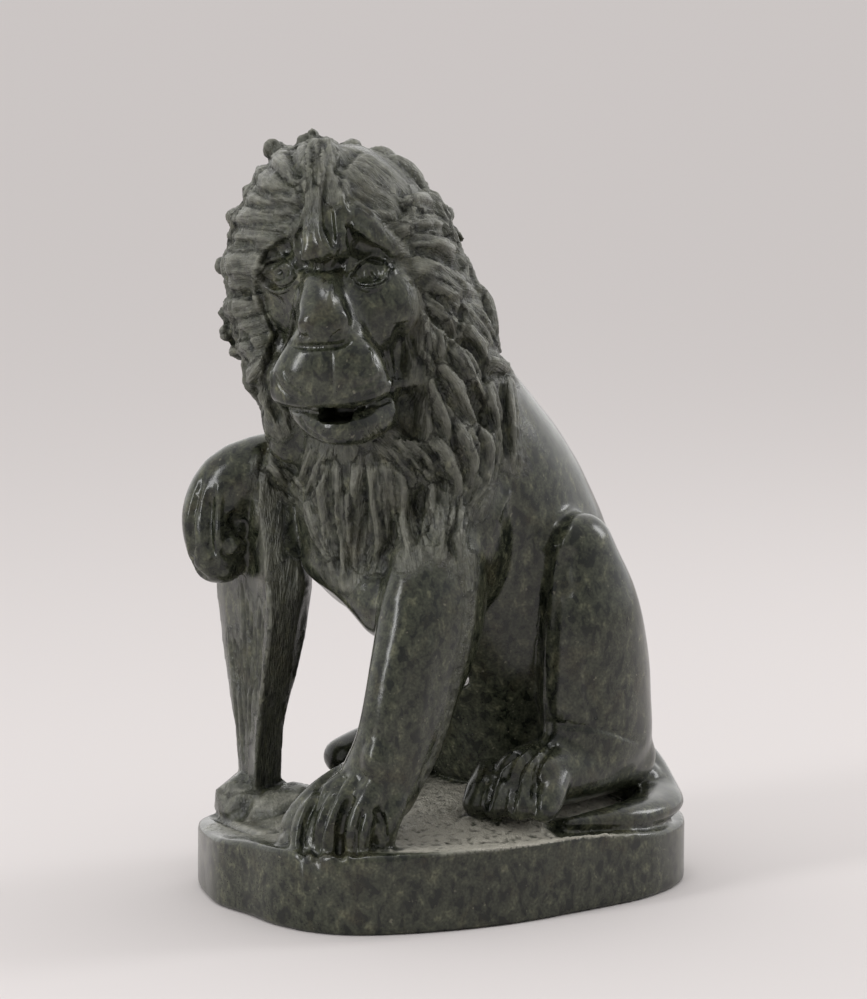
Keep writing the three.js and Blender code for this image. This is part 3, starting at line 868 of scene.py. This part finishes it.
# Lines of the mane. Between the locks the hair falls in sweeps, with deep cuts from one to the next and
# crests that catch the light. Each line, here and below, is its half width and its height in millimetres,
# its section, and its path over the photograph, in pixels.
mane_lines = [
    (5, -4, "round", [(288, 150), (292, 165), (297, 182)]),
    (2, -2, "vee", [(276, 172), (285, 184), (300, 184)]),
    (3, -2.5, "vee", [(250, 189), (262, 193), (280, 192), (292, 196)]),
    (2.5, -2, "vee", [(246, 203), (262, 206), (286, 207)]),
    (3, -2.5, "vee", [(232, 226), (250, 225), (270, 224), (290, 218)]),
    (3, -2.5, "vee", [(230, 248), (242, 244), (256, 246)]),
    (3.5, -3, "vee", [(226, 296), (240, 295), (254, 297)]),
    (2.5, -2, "vee", [(230, 312), (243, 308), (256, 303)]),
    (4, -3, "round", [(240, 330), (246, 345), (252, 352)]),
    (3, -2.5, "vee", [(270, 362), (259, 372), (255, 388), (257, 402), (266, 415), (274, 430)]),
    (3, -3, "round", [(266, 382), (270, 400), (280, 424)]),
    (2.5, -2.5, "vee", [(309, 140), (311, 155), (310, 172)]),
    (3.5, -2.5, "round", [(358, 150), (344, 162), (334, 174)]),
    (2, 1.2, "vee", [(345, 193), (360, 206), (378, 214), (410, 212)]),
    (3, -2.5, "vee", [(415, 210), (428, 211), (444, 214)]),
    (3, -2.5, "vee", [(412, 228), (430, 230), (450, 236), (464, 246)]),
    (3, -3, "vee", [(410, 250), (430, 252), (450, 262), (466, 280)]),
    (2.5, 1.5, "vee", [(430, 262), (450, 274), (470, 286)]),
    (3, -3, "vee", [(425, 290), (444, 302), (458, 318)]),
    (2.5, -2.5, "vee", [(463, 300), (462, 320), (457, 338)]),
    (2.5, -2.5, "vee", [(472, 305), (490, 328), (498, 348)]),
    (3, -3, "vee", [(455, 338), (476, 352), (488, 385)]),
    (5, -4, "round", [(470, 390), (480, 410), (495, 432)]),
    (4, -3, "round", [(503, 382), (505, 420), (511, 458)]),
    (2, 1.5, "vee", [(497, 358), (510, 366), (522, 375)]),
    (8, -8, "round", [(408, 386), (411, 412), (409, 440)]),
    (5, -2.5, "round", [(402, 322), (400, 350), (396, 380)]),
    (3, -3, "vee", [(425, 485), (419, 510), (415, 545)]),
    (2, 1.4, "vee", [(400, 452), (416, 464), (434, 480)]),
    (2, 1.2, "vee", [(510, 490), (502, 505), (497, 520)]),
    (2, 1.2, "vee", [(560, 545), (550, 549), (540, 552)]),
]


def carve(lines):
    for width, height, section, points in lines:
        cuts.seen(points, width, height, section)


carve(mane_lines)

# Lines of the face. The sockets are hollowed under the brows, with the eyes left standing in them between
# thin lids. Fine lines are drawn for the nose, the whiskers, the lips and the teeth, all in the polished
# stone.
face_lines = [
    (3.5, -3, "round", [(296, 265), (320, 267), (346, 266)]),
    (6, -3.5, "round", [(352, 244), (366, 250), (386, 259)]),
    (6, -3, "round", [(352, 274), (370, 274), (388, 274)]),
    (7, -3.5, "round", [(292, 246), (278, 254), (264, 268)]),
    (6, -2.5, "round", [(292, 272), (276, 275), (262, 280)]),
    (7, -1.2, "round", [(276, 295), (277, 315), (279, 335)]),
    (2.2, 1.6, "vee", [(350, 224), (358, 228), (376, 242), (397, 257)]),
    (2.2, 1.6, "vee", [(330, 138), (326, 160), (320, 190), (319, 215), (322, 240), (337, 258)]),
    (2.4, -1.2, "round", [(329, 206), (331, 225), (334, 250)]),
    (2.2, -2.0, "vee", [(349, 224), (350, 238), (354, 256)]),
    (1.6, 1.2, "vee", [(345, 228), (343, 240), (345, 252)]),
    (1.6, 1.0, "vee", [(338, 232), (337, 242), (338, 250)]),
    (2.0, 1.2, "vee", [(341, 192), (343, 205), (350, 219)]),
    (1.6, 1.2, "vee", [(295, 231), (295, 240), (296, 252)]),
    (1.8, 1.4, "vee", [(306, 206), (302, 222), (295, 232)]),
    (2.0, 1.6, "vee", [
        (297, 229), (280, 240), (265, 250), (257, 264), (254, 282),
        (256, 300), (263, 315), (270, 330), (276, 345),
    ]),
    (3.6, -3.5, "round", [(281, 330), (274, 350), (266, 366), (263, 384), (265, 404)]),
    (1.6, 1.0, "vee", [(299, 285), (296, 300), (293, 318), (286, 343), (275, 362), (272, 380), (272, 398)]),
    (1.6, 0.9, "vee", [(333, 272), (332, 290), (331, 310)]),
    (1.8, -1.8, "vee", [(289, 341), (300, 346), (320, 347), (340, 345), (352, 338)]),
    (1.6, -1.2, "round", [(298, 334), (304, 338), (309, 336)]),
    (1.6, -1.2, "round", [(341, 330), (336, 336), (331, 336)]),
    (1.4, -1.4, "vee", [(276, 404), (296, 410), (318, 409)]),
    (1.4, -1.4, "vee", [(352, 407), (372, 405), (391, 400)]),
    (1.2, -0.7, "vee", [(331, 348), (332, 375), (333, 404)]),
    (1.2, -0.7, "vee", [(275, 373), (281, 388), (292, 398), (306, 403)]),
    (1.2, -0.6, "vee", [(282, 366), (290, 382), (304, 393), (318, 398)]),
    (1.2, -0.6, "vee", [(386, 384), (370, 392), (352, 398), (340, 401)]),
    (1.2, -0.6, "vee", [(386, 376), (368, 384), (352, 388)]),
    (1.6, 0.9, "vee", [(357, 374), (364, 378), (374, 374), (378, 367)]),
    (1.6, 0.9, "vee", [(369, 350), (370, 358), (371, 366)]),
    (1.4, 0.8, "vee", [(378, 350), (386, 362), (390, 378), (388, 396)]),
    (1.4, 0.8, "vee", [(388, 345), (392, 365), (394, 390)]),
    (1.2, -0.8, "vee", [(300, 416), (306, 428), (322, 438), (346, 441)]),
    (1.2, -1.2, "vee", [(360, 430), (364, 436), (366, 444)]),
    (1.2, -1.2, "vee", [(368, 428), (372, 434), (375, 442)]),
    (1.2, -1.2, "vee", [(376, 425), (380, 430), (383, 437)]),
    (1.4, -1.2, "vee", [(292, 412), (290, 422), (294, 432)]),
]
eyes = [
    # inner and outer corner, rise and fall of the lids, and pupil, in pixels
    ((352, 277), (391, 270), 14, 13, (370, 273)),
    ((297, 276), (261, 275), 15, 12, (278, 272)),
]
carve(face_lines)
for eye in eyes:
    cuts.eye(*eye)

# Raised paw. The right forepaw hangs over the top of the shield, with its toes drawn as grooves that curl
# in under it round a small hollow.
raised_paw_lines = [
    (2.4, -2.4, "vee", [(204, 474), (196, 500), (190, 527), (191, 545), (191, 560), (197, 572), (207, 580)]),
    (3.0, -2.6, "vee", [(213, 490), (210, 515), (210, 545), (216, 557)]),
    (3.0, 1.4, "round", [(220, 482), (218, 510), (218, 545)]),
    (5.0, -3.0, "round", [(228, 517), (236, 521), (241, 529)]),
    (1.6, 1.0, "vee", [(222, 511), (237, 510), (246, 516), (256, 530)]),
    (4.0, 2.4, "round", [(229, 546), (236, 546), (244, 547)]),
    (2.2, -2.0, "vee", [(219, 551), (231, 558), (248, 558)]),
    (2.0, -1.6, "vee", [(222, 536), (236, 533), (248, 540)]),
    (2.2, -1.6, "vee", [(212, 556), (216, 566), (226, 575)]),
    (2.5, -2.5, "vee", [(270, 436), (262, 462), (256, 490), (257, 525), (250, 548)]),
]
carve(raised_paw_lines)

# Standing foreleg. Grooves between the toes run back to the wrist, and the polished leg above keeps a flat
# and a ridge, where the rubbing stopped short of round. The rim of the plinth beside the paw has a sharp
# edge.
foreleg_lines = [
    (2.4, -3.0, "vee", [(340, 765), (322, 782), (312, 805), (304, 835), (304, 862)]),
    (2.4, -3.0, "vee", [(346, 776), (334, 792), (324, 815), (317, 840), (317, 864)]),
    (2.4, -3.0, "vee", [(354, 796), (347, 808), (342, 824), (340, 845), (341, 862)]),
    (2.4, -3.0, "vee", [(364, 808), (361, 820), (357, 838), (357, 858)]),
    (2.2, -2.4, "vee", [(375, 808), (382, 822), (386, 842)]),
    (9, -0.7, "round", [(388, 600), (382, 650), (375, 700), (366, 738)]),
    (6, 0.8, "round", [(430, 640), (424, 690), (410, 745)]),
    (2.0, 0.9, "vee", [(396, 855), (430, 856), (480, 851), (560, 843), (640, 828)]),
]
carve(foreleg_lines)

# Hind leg. Grooves between the toes run back over the foot, a crease parts the foot from the haunch, and a
# soft ridge with a hollow beside it runs down the front edge of the haunch.
hind_leg_lines = [
    (2.2, -2.6, "vee", [(540, 736), (505, 762), (492, 785), (487, 812)]),
    (2.2, -2.6, "vee", [(546, 738), (522, 765), (514, 790), (511, 816)]),
    (2.2, -2.6, "vee", [(553, 742), (538, 765), (535, 790), (535, 816)]),
    (1.6, -1.4, "vee", [(545, 722), (575, 726), (605, 730), (645, 744)]),
    (4, -2.0, "vee", [(586, 650), (590, 690), (598, 728)]),
    (1.8, 1.2, "vee", [(590, 660), (592, 695), (597, 724)]),
    (3.5, 1.2, "vee", [(580, 514), (566, 540), (556, 570), (550, 610), (546, 660), (546, 715)]),
    (5, -1.5, "vee", [(568, 548), (566, 570), (570, 598)]),
]
carve(hind_leg_lines)

# Striations. The hollowed face of the shield is left rough, with long strokes of the chisel down it from
# top to foot. The bevel behind its polished near edge is rough too, and a thin ridge runs down between the
# two.
stroke_shares = np.linspace(0.14, 0.92, 10)
stroke_top, stroke_drop = 582, 185
face_left, left_drift = 218, 21
face_right, right_drift = 268, 14
stroke_half, stroke_depths = 1.7, (1.4, 2.6)
stroke_rough_half, stroke_roughness = 5, (0.2, 0.6)
bevel_half = 8
bevel_paths = [[(268, 480), (268, 520), (266, 560)], [(284, 580), (280, 640), (272, 700), (268, 760)]]
edge_ridge = [(1.8, 1.0, "vee", [(266, 566), (269, 600), (269, 635), (263, 680), (258, 735), (255, 775)])]
seeded = np.random.default_rng(7)
for share in stroke_shares:
    start, end = np.sort(seeded.uniform(0, 1, 2))
    start, end = min(start, 0.3), max(end, 0.6)
    path = []
    for down in np.linspace(start, end, 5):
        y = stroke_top + down * stroke_drop
        left, right = face_left + left_drift * down, face_right - right_drift * down**1.3
        path.append((left + share * (right - left) + seeded.normal(0, 0.5), y))
    cuts.seen(path, stroke_half, -seeded.uniform(*stroke_depths))
    hair_lines.append(cuts.rough_along(path, stroke_rough_half, seeded.uniform(*stroke_roughness)))
for points in bevel_paths:
    hair_lines.append(cuts.rough_along(points, bevel_half))
carve(edge_ridge)

# Rough ground. The back of the standing foreleg, the rock with the cleft in it and the ground between the
# legs are left from the chisel. The rim and the tail are polished, and the ground is dustiest on the lion's
# left.
rough_paths = [
    # half width, share of roughness, and path over the photograph
    (5, 1, [(472, 560), (470, 620), (458, 680), (442, 740), (425, 780)]),
    (9, 1, [(286, 575), (283, 640), (276, 700), (268, 770)]),
    (9, 0.4, [(225, 800), (255, 800), (285, 800)]),
    (9, 0.4, [(225, 825), (260, 832), (290, 820)]),
]
rock_cleft = [(3, -2.5, "vee", [(213, 814), (230, 824), (258, 833), (286, 830)])]
ground_low, ground_high, ground_level = 24, 41, 0.55
ground_half_width, ground_half_length = 84, 95
ground_edge, ground_fade = 1.02, 15
tail_on_ground = [(60, 64), (71, 46), (74, 20), (66, -6)]
tail_half, tail_fade = 9, 3
for half, share, points in rough_paths:
    cuts.rough_along(points, half, share)
carve(rock_cleft)
heights = cuts.places[:, 2]
flat = (cuts.facings[:, 2] > ground_level) & (heights > ground_low) & (heights < ground_high)
outward = np.hypot(cuts.places[:, 0] / ground_half_width, cuts.places[:, 1] / ground_half_length)
tail_line = along_curve(tail_on_ground, np.linspace(0, 1, 40))
from_tail = np.linalg.norm(cuts.places[flat][:, None, :2] - tail_line, axis=2).min(axis=1)
ground_rough = np.clip((ground_edge - outward[flat]) * ground_fade, 0, 1)
ground_rough *= np.clip((from_tail - tail_half) / tail_fade, 0, 1)
ground_rough *= np.clip(0.8 + cuts.places[flat][:, 0] / 100, 0.4, 1)
cuts.rough[flat] = np.maximum(cuts.rough[flat], ground_rough)
cuts.make()

# Grain. Rough stone keeps the strokes of the chisel, drawn out along the hair and evenly pitted on the
# ground; polished stone keeps the slow unevenness of hand rubbing. Coordinates along the hair are kept for
# the finish.
pitting_scale = 0.8
stroke_stretch = 0.14
spot_step, line_step = 0.8, 3.7
hair_reach = 14
coarse_height, coarse_scale = 0.6, 0.42
fine_height, fine_scale = 0.45, 1.1
ground_strokes = 1.1
rubbing_height, rubbing_width = 0.4, 17
places, facings = skin_points()
rough = cuts.rough
hair_spots = np.vstack([line[:, :3] for line in hair_lines])
hair_ways = np.vstack([unit(np.gradient(line[:, :3], axis=0)) for line in hair_lines])
hair_across = unit(np.cross(hair_ways, np.vstack([line[:, 3:] for line in hair_lines])))
hair_along = np.concatenate([np.linspace(0, spot_step * len(line), len(line)) for line in hair_lines])
hair_line = np.concatenate([np.full(len(line), line_step * k) for k, line in enumerate(hair_lines)])
hair = KDTree(len(hair_spots))
for k, spot in enumerate(hair_spots):
    hair.insert(spot, k)
hair.balance()
touched = np.flatnonzero(rough > 0.05)
found = [hair.find(place)[1:] for place in places[touched]]
nearest = np.array([k for k, _ in found])
away = np.array([reach for _, reach in found])
gap = places[touched] - hair_spots[nearest]
combed_grain = np.column_stack([
    np.einsum("ij,ij->i", gap, hair_across[nearest]),
    stroke_stretch * (hair_along[nearest] + np.einsum("ij,ij->i", gap, hair_ways[nearest])),
    hair_line[nearest],
])
grain = pitting_scale * places
grain[touched] = np.where((away < hair_reach)[:, None], combed_grain, grain[touched])
strokes = np.array([
    coarse_height * noise.noise(Vector(coarse_scale * place))
    + fine_height * noise.noise(Vector(fine_scale * place))
    for place in grain[touched]
])
rubbed_waves = np.array([noise.noise(Vector(place / rubbing_width)) for place in places])
lift = (1 - rough) * rubbing_height * rubbed_waves
lift[touched] += rough[touched] * np.where(away < hair_reach, 1.0, ground_strokes) * strokes
places += facings * lift[:, None]
move_skin(places)
lion.data.attributes.new("rough", "FLOAT", "POINT").data.foreach_set("value", rough)
lion.data.attributes.new("grain", "FLOAT_VECTOR", "POINT").data.foreach_set("vector", grain.ravel())

# Thinning. The stone is brought down to its final number of faces. Broad polished stone and the hidden
# sides take larger ones than the face and the hair seen from in front, so that the carving keeps its
# detail.
most_triangles = 195000
shares_kept = 10
face_kept, plain_kept, rough_kept, carved_kept = 0.6, 0.1, 0.3, 0.4
carved = np.clip(2 * (cuts.raised + cuts.sunk), 0, 1)
in_view = facings @ camera_back > -0.1
kept = face_kept * in_face(places) + (plain_kept + rough_kept * rough + carved_kept * carved) * in_view
kept = np.clip(kept, 0, 1)
plainness = lion.vertex_groups.new(name="plain stone")
for level in range(shares_kept + 1):
    members = np.flatnonzero(np.round(shares_kept * (1 - kept)) == level)
    plainness.add(members.tolist(), level / shares_kept, "REPLACE")
thin = lion.modifiers.new("thin", "DECIMATE")
thin.vertex_group = plainness.name
thin.vertex_group_factor = 0.003
triangles = sum(len(face.vertices) - 2 for face in lion.data.polygons)
thin.ratio = min(1, most_triangles / triangles)
final = as_made(lion)
lion.modifiers.clear()
lion.vertex_groups.clear()
lion.data = final
move_skin(metres(skin_points()[0]))
final.name = "lion_stone"
final.shade_smooth()
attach(lion, "root")
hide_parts("lion_sculpture")

# Dust and painted hollow shade. Rough stone holds pale dust, most of it on the level ground. Less of it is
# laid in the hollows between the locks and more on the crests, as painted shade that keeps the hollows dark
# and the crests pale. Both are worked out from the finished skin, in metres from here on.
hollow_depth = 0.0008
ground_top = 0.0385
ground_dust = 1.7
smoothing_rounds = 6
places, facings = skin_points()
edges = np.empty(2 * len(final.edges), int)
final.edges.foreach_get("vertices", edges)
edges = edges.reshape(-1, 2)
smoothed = places.copy()
neighbours = np.bincount(edges.ravel(), minlength=len(smoothed))[:, None]
for _ in range(smoothing_rounds):
    total = np.zeros_like(smoothed)
    np.add.at(total, edges[:, 0], smoothed[edges[:, 1]])
    np.add.at(total, edges[:, 1], smoothed[edges[:, 0]])
    smoothed = total / neighbours
# How far each point lies below its smoothed neighbours; the stone uses it for painted shade in the hollows
# and paler crests.
hollow = np.clip(np.einsum("ij,ij->i", smoothed - places, facings) / hollow_depth, -1, 1)
final.attributes.new("hollow", "FLOAT", "POINT").data.foreach_set("value", hollow)
rough = np.empty(len(final.vertices))
final.attributes["rough"].data.foreach_get("value", rough)
level_ground = (places[:, 2] < ground_top) * np.clip(2 * facings[:, 2] - 0.6, 0, 1)
dust = rough * (np.clip(0.36 + 0.3 * facings[:, 2], 0.2, 1) + ground_dust * level_ground)
final.attributes.new("dust", "FLOAT", "POINT").data.foreach_set("value", dust)

# Stone. A dark green stone mottled with near black and pale green, with rusty clouds and a few pale specks.
# It is rubbed to a polish, and where it is left rough it is duller, combed along the hair and grey with
# dust, with painted shade that keeps the dust out of the hollows and lays paler dust on the crests.
near_black = (0.006, 0.008, 0.005)
dark_green = (0.024, 0.027, 0.017)
green = (0.038, 0.042, 0.027)
pale_green = (0.088, 0.090, 0.056)
rust = (0.062, 0.052, 0.026)
pale_speck = (0.20, 0.19, 0.14)
thin_dust = (0.23, 0.23, 0.19)
thick_dust = (0.42, 0.40, 0.34)
black, white = (0, 0, 0), (1, 1, 1)
mottle_scale, cloud_scale, fleck_scale, speck_scale = 260, 60, 900, 420
rust_share, speck_share = 0.35, 0.5
even_dust, patchy_dust = 0.1, 2.4
# The second pair thins the dust in the hollows and thickens it on the crests, as painted shade.
open_dust, hollow_shade_share = 0.68, -1.0
comb_scale, strand_scale, pit_scale = 1.2, 1.5, 650
polished_pits, rough_pits = 0.06, 0.5
bedding_turn = (0.5, -0.6, 0.3)
bedding_stretch = (1.0, 1.0, 0.7)
polish, polish_change, polish_scale = 0.14, 0.14, 120
rough_dullness = 0.18
bump_height = 0.0009
stone = bpy.data.materials.new("dark green stone")
stone.use_nodes = True
nodes, links = stone.node_tree.nodes, stone.node_tree.links
shader = nodes["Principled BSDF"]
where = nodes.new("ShaderNodeTexCoord").outputs["Object"]


def noise_node(scale, detail=4.0, distortion=0.0, source=where):
    node = nodes.new("ShaderNodeTexNoise")
    node.inputs["Scale"].default_value = scale
    node.inputs["Detail"].default_value = detail
    node.inputs["Distortion"].default_value = distortion
    links.new(source, node.inputs["Vector"])
    return node.outputs["Fac"]


def ramp(source, stops):
    node = nodes.new("ShaderNodeValToRGB")
    while len(node.color_ramp.elements) < len(stops):
        node.color_ramp.elements.new(0.5)
    for element, (place, colour) in zip(node.color_ramp.elements, stops):
        element.position = place
        element.color = (*colour, 1)
    links.new(source, node.inputs["Fac"])
    return node.outputs["Color"]


def blend(share, first, second, way="MIX"):
    node = nodes.new("ShaderNodeMix")
    node.data_type = "RGBA"
    node.blend_type = way
    for source, socket in ((share, node.inputs["Factor"]), (first, node.inputs[6]), (second, node.inputs[7])):
        if hasattr(source, "node"):
            links.new(source, socket)
        else:
            socket.default_value = (*source, 1) if socket.type == "RGBA" else source
    return node.outputs[2]


def maths(operation, *values):
    node = nodes.new("ShaderNodeMath")
    node.operation = operation
    for value, socket in zip(values, node.inputs):
        if hasattr(value, "node"):
            links.new(value, socket)
        else:
            socket.default_value = value
    return node.outputs[0]


def painted(name, kind="Fac"):
    node = nodes.new("ShaderNodeAttribute")
    node.attribute_name = name
    return node.outputs[kind]


streaked = nodes.new("ShaderNodeMapping")
streaked.inputs["Rotation"].default_value = bedding_turn
streaked.inputs["Scale"].default_value = bedding_stretch
links.new(where, streaked.inputs["Vector"])
mottle = ramp(
    noise_node(mottle_scale, 9, 0.4, streaked.outputs["Vector"]),
    [(0.39, near_black), (0.45, dark_green), (0.58, green), (0.71, pale_green)],
)
clouds = ramp(noise_node(cloud_scale, 4, 0.8), [(0.55, black), (0.72, white)])
colour = blend(maths("MULTIPLY", clouds, rust_share), mottle, rust)
flecks = ramp(noise_node(fleck_scale, 3), [(0.35, (0.6, 0.6, 0.6)), (0.65, (1.4, 1.4, 1.4))])
flecked = blend(1.0, colour, flecks, "MULTIPLY")
specks = ramp(noise_node(speck_scale, 2), [(0.70, black), (0.76, white)])
colour = blend(maths("MULTIPLY", specks, speck_share), flecked, pale_speck)
roughened = painted("rough")
combing = noise_node(comb_scale, 4, 0.0, painted("grain", "Vector"))
patchy = maths("MULTIPLY", noise_node(mottle_scale, 6), combing)
worn = maths("MULTIPLY", painted("dust"), maths("ADD", even_dust, maths("MULTIPLY", patchy, patchy_dust)))
# Painted shade: the dust is thinned in the hollows so that they stay dark, and thickened on the crests so
# that they look paler.
painted_hollow_shade = maths("MULTIPLY", painted("hollow"), hollow_shade_share)
dust_and_hollow_shade = maths("MULTIPLY", worn, maths("ADD", open_dust, painted_hollow_shade))
dust_colour = ramp(maths("MULTIPLY", painted("dust"), 0.4), [(0.3, thin_dust), (0.8, thick_dust)])
colour = blend(dust_and_hollow_shade, colour, dust_colour)
links.new(colour, shader.inputs["Base Color"])
gloss = maths("ADD", polish, maths("MULTIPLY", noise_node(polish_scale, 4), polish_change))
links.new(maths("ADD", gloss, maths("MULTIPLY", roughened, rough_dullness)), shader.inputs["Roughness"])
strands = noise_node(strand_scale, 3, 0.0, painted("grain", "Vector"))
combed = maths("MULTIPLY", roughened, strands)
pits = maths("ADD", polished_pits, maths("MULTIPLY", roughened, rough_pits))
pitted = maths("MULTIPLY", pits, noise_node(pit_scale, 5))
bump = nodes.new("ShaderNodeBump")
bump.inputs["Distance"].default_value = bump_height
links.new(maths("ADD", combed, pitted), bump.inputs["Height"])
links.new(bump.outputs["Normal"], shader.inputs["Normal"])
lion.data.materials.clear()
lion.data.materials.append(stone)

# Stage. A plain pale table top whose edge is far out of sight. It is dull, so that the stone lies on it
# without a reflection.
table_reach = 80
table_colour = (0.68, 0.645, 0.64, 1)
table_top = bmesh.new()
bmesh.ops.create_grid(table_top, x_segments=1, y_segments=1, size=table_reach)
floor_mesh = bpy.data.meshes.new("floor")
table_top.to_mesh(floor_mesh)
table_top.free()
floor = bpy.data.objects.new("floor", floor_mesh)
bpy.context.collection.objects.link(floor)
pale = bpy.data.materials.new("pale table")
pale.use_nodes = True
pale_shader = pale.node_tree.nodes["Principled BSDF"]
pale_shader.inputs["Base Color"].default_value = table_colour
pale_shader.inputs["Roughness"].default_value = 1.0
pale_shader.inputs["Specular IOR Level"].default_value = 0.0
floor.data.materials.append(pale)

# Room light. Bright soft air all round, brighter behind the lion than in front of it, and three soft lamps:
# a tall one to the left, a small one overhead, and one behind to the right.
air_colour = (1.0, 0.99, 0.98, 1)
air_strength, air_fall = 0.92, -0.47
world = bpy.data.worlds.new("room")
bpy.context.scene.world = world
world.use_nodes = True
sky = world.node_tree
sky.nodes["Background"].inputs["Color"].default_value = air_colour
towards = sky.nodes.new("ShaderNodeVectorMath")
towards.operation = "DOT_PRODUCT"
towards.inputs[1].default_value = camera_back
sky.links.new(sky.nodes.new("ShaderNodeTexCoord").outputs["Generated"], towards.inputs[0])
falling = sky.nodes.new("ShaderNodeMath")
falling.operation = "MULTIPLY_ADD"
falling.inputs[1].default_value = air_fall
falling.inputs[2].default_value = air_strength
sky.links.new(towards.outputs["Value"], falling.inputs[0])
sky.links.new(falling.outputs[0], sky.nodes["Background"].inputs["Strength"])
bpy.context.scene.view_settings.view_transform = "Standard"
lamp_aim = Vector((0, 0, 0.15))


def soft_light(name, aside, above, towards, size, power):
    """A soft lamp placed as the camera sees it: metres to the right, up and towards the camera."""
    light = bpy.data.lights.new(name, "AREA")
    light.shape = "RECTANGLE"
    light.size, light.size_y = size
    light.energy = power
    lamp = bpy.data.objects.new(name, light)
    bpy.context.collection.objects.link(lamp)
    lamp.location = lamp_aim + Vector(aside * camera_right + above * camera_up + towards * camera_back)
    lamp.rotation_euler = (lamp_aim - lamp.location).to_track_quat("-Z", "Y").to_euler()


soft_light("window left", -1.05, 0.45, 0.8, (0.2, 1.0), 7.0)
soft_light("window above", -0.1, 1.3, 0.35, (0.28, 0.28), 1.7)
soft_light("window right", 1.2, 0.8, -0.4, (0.35, 0.7), 5.0)
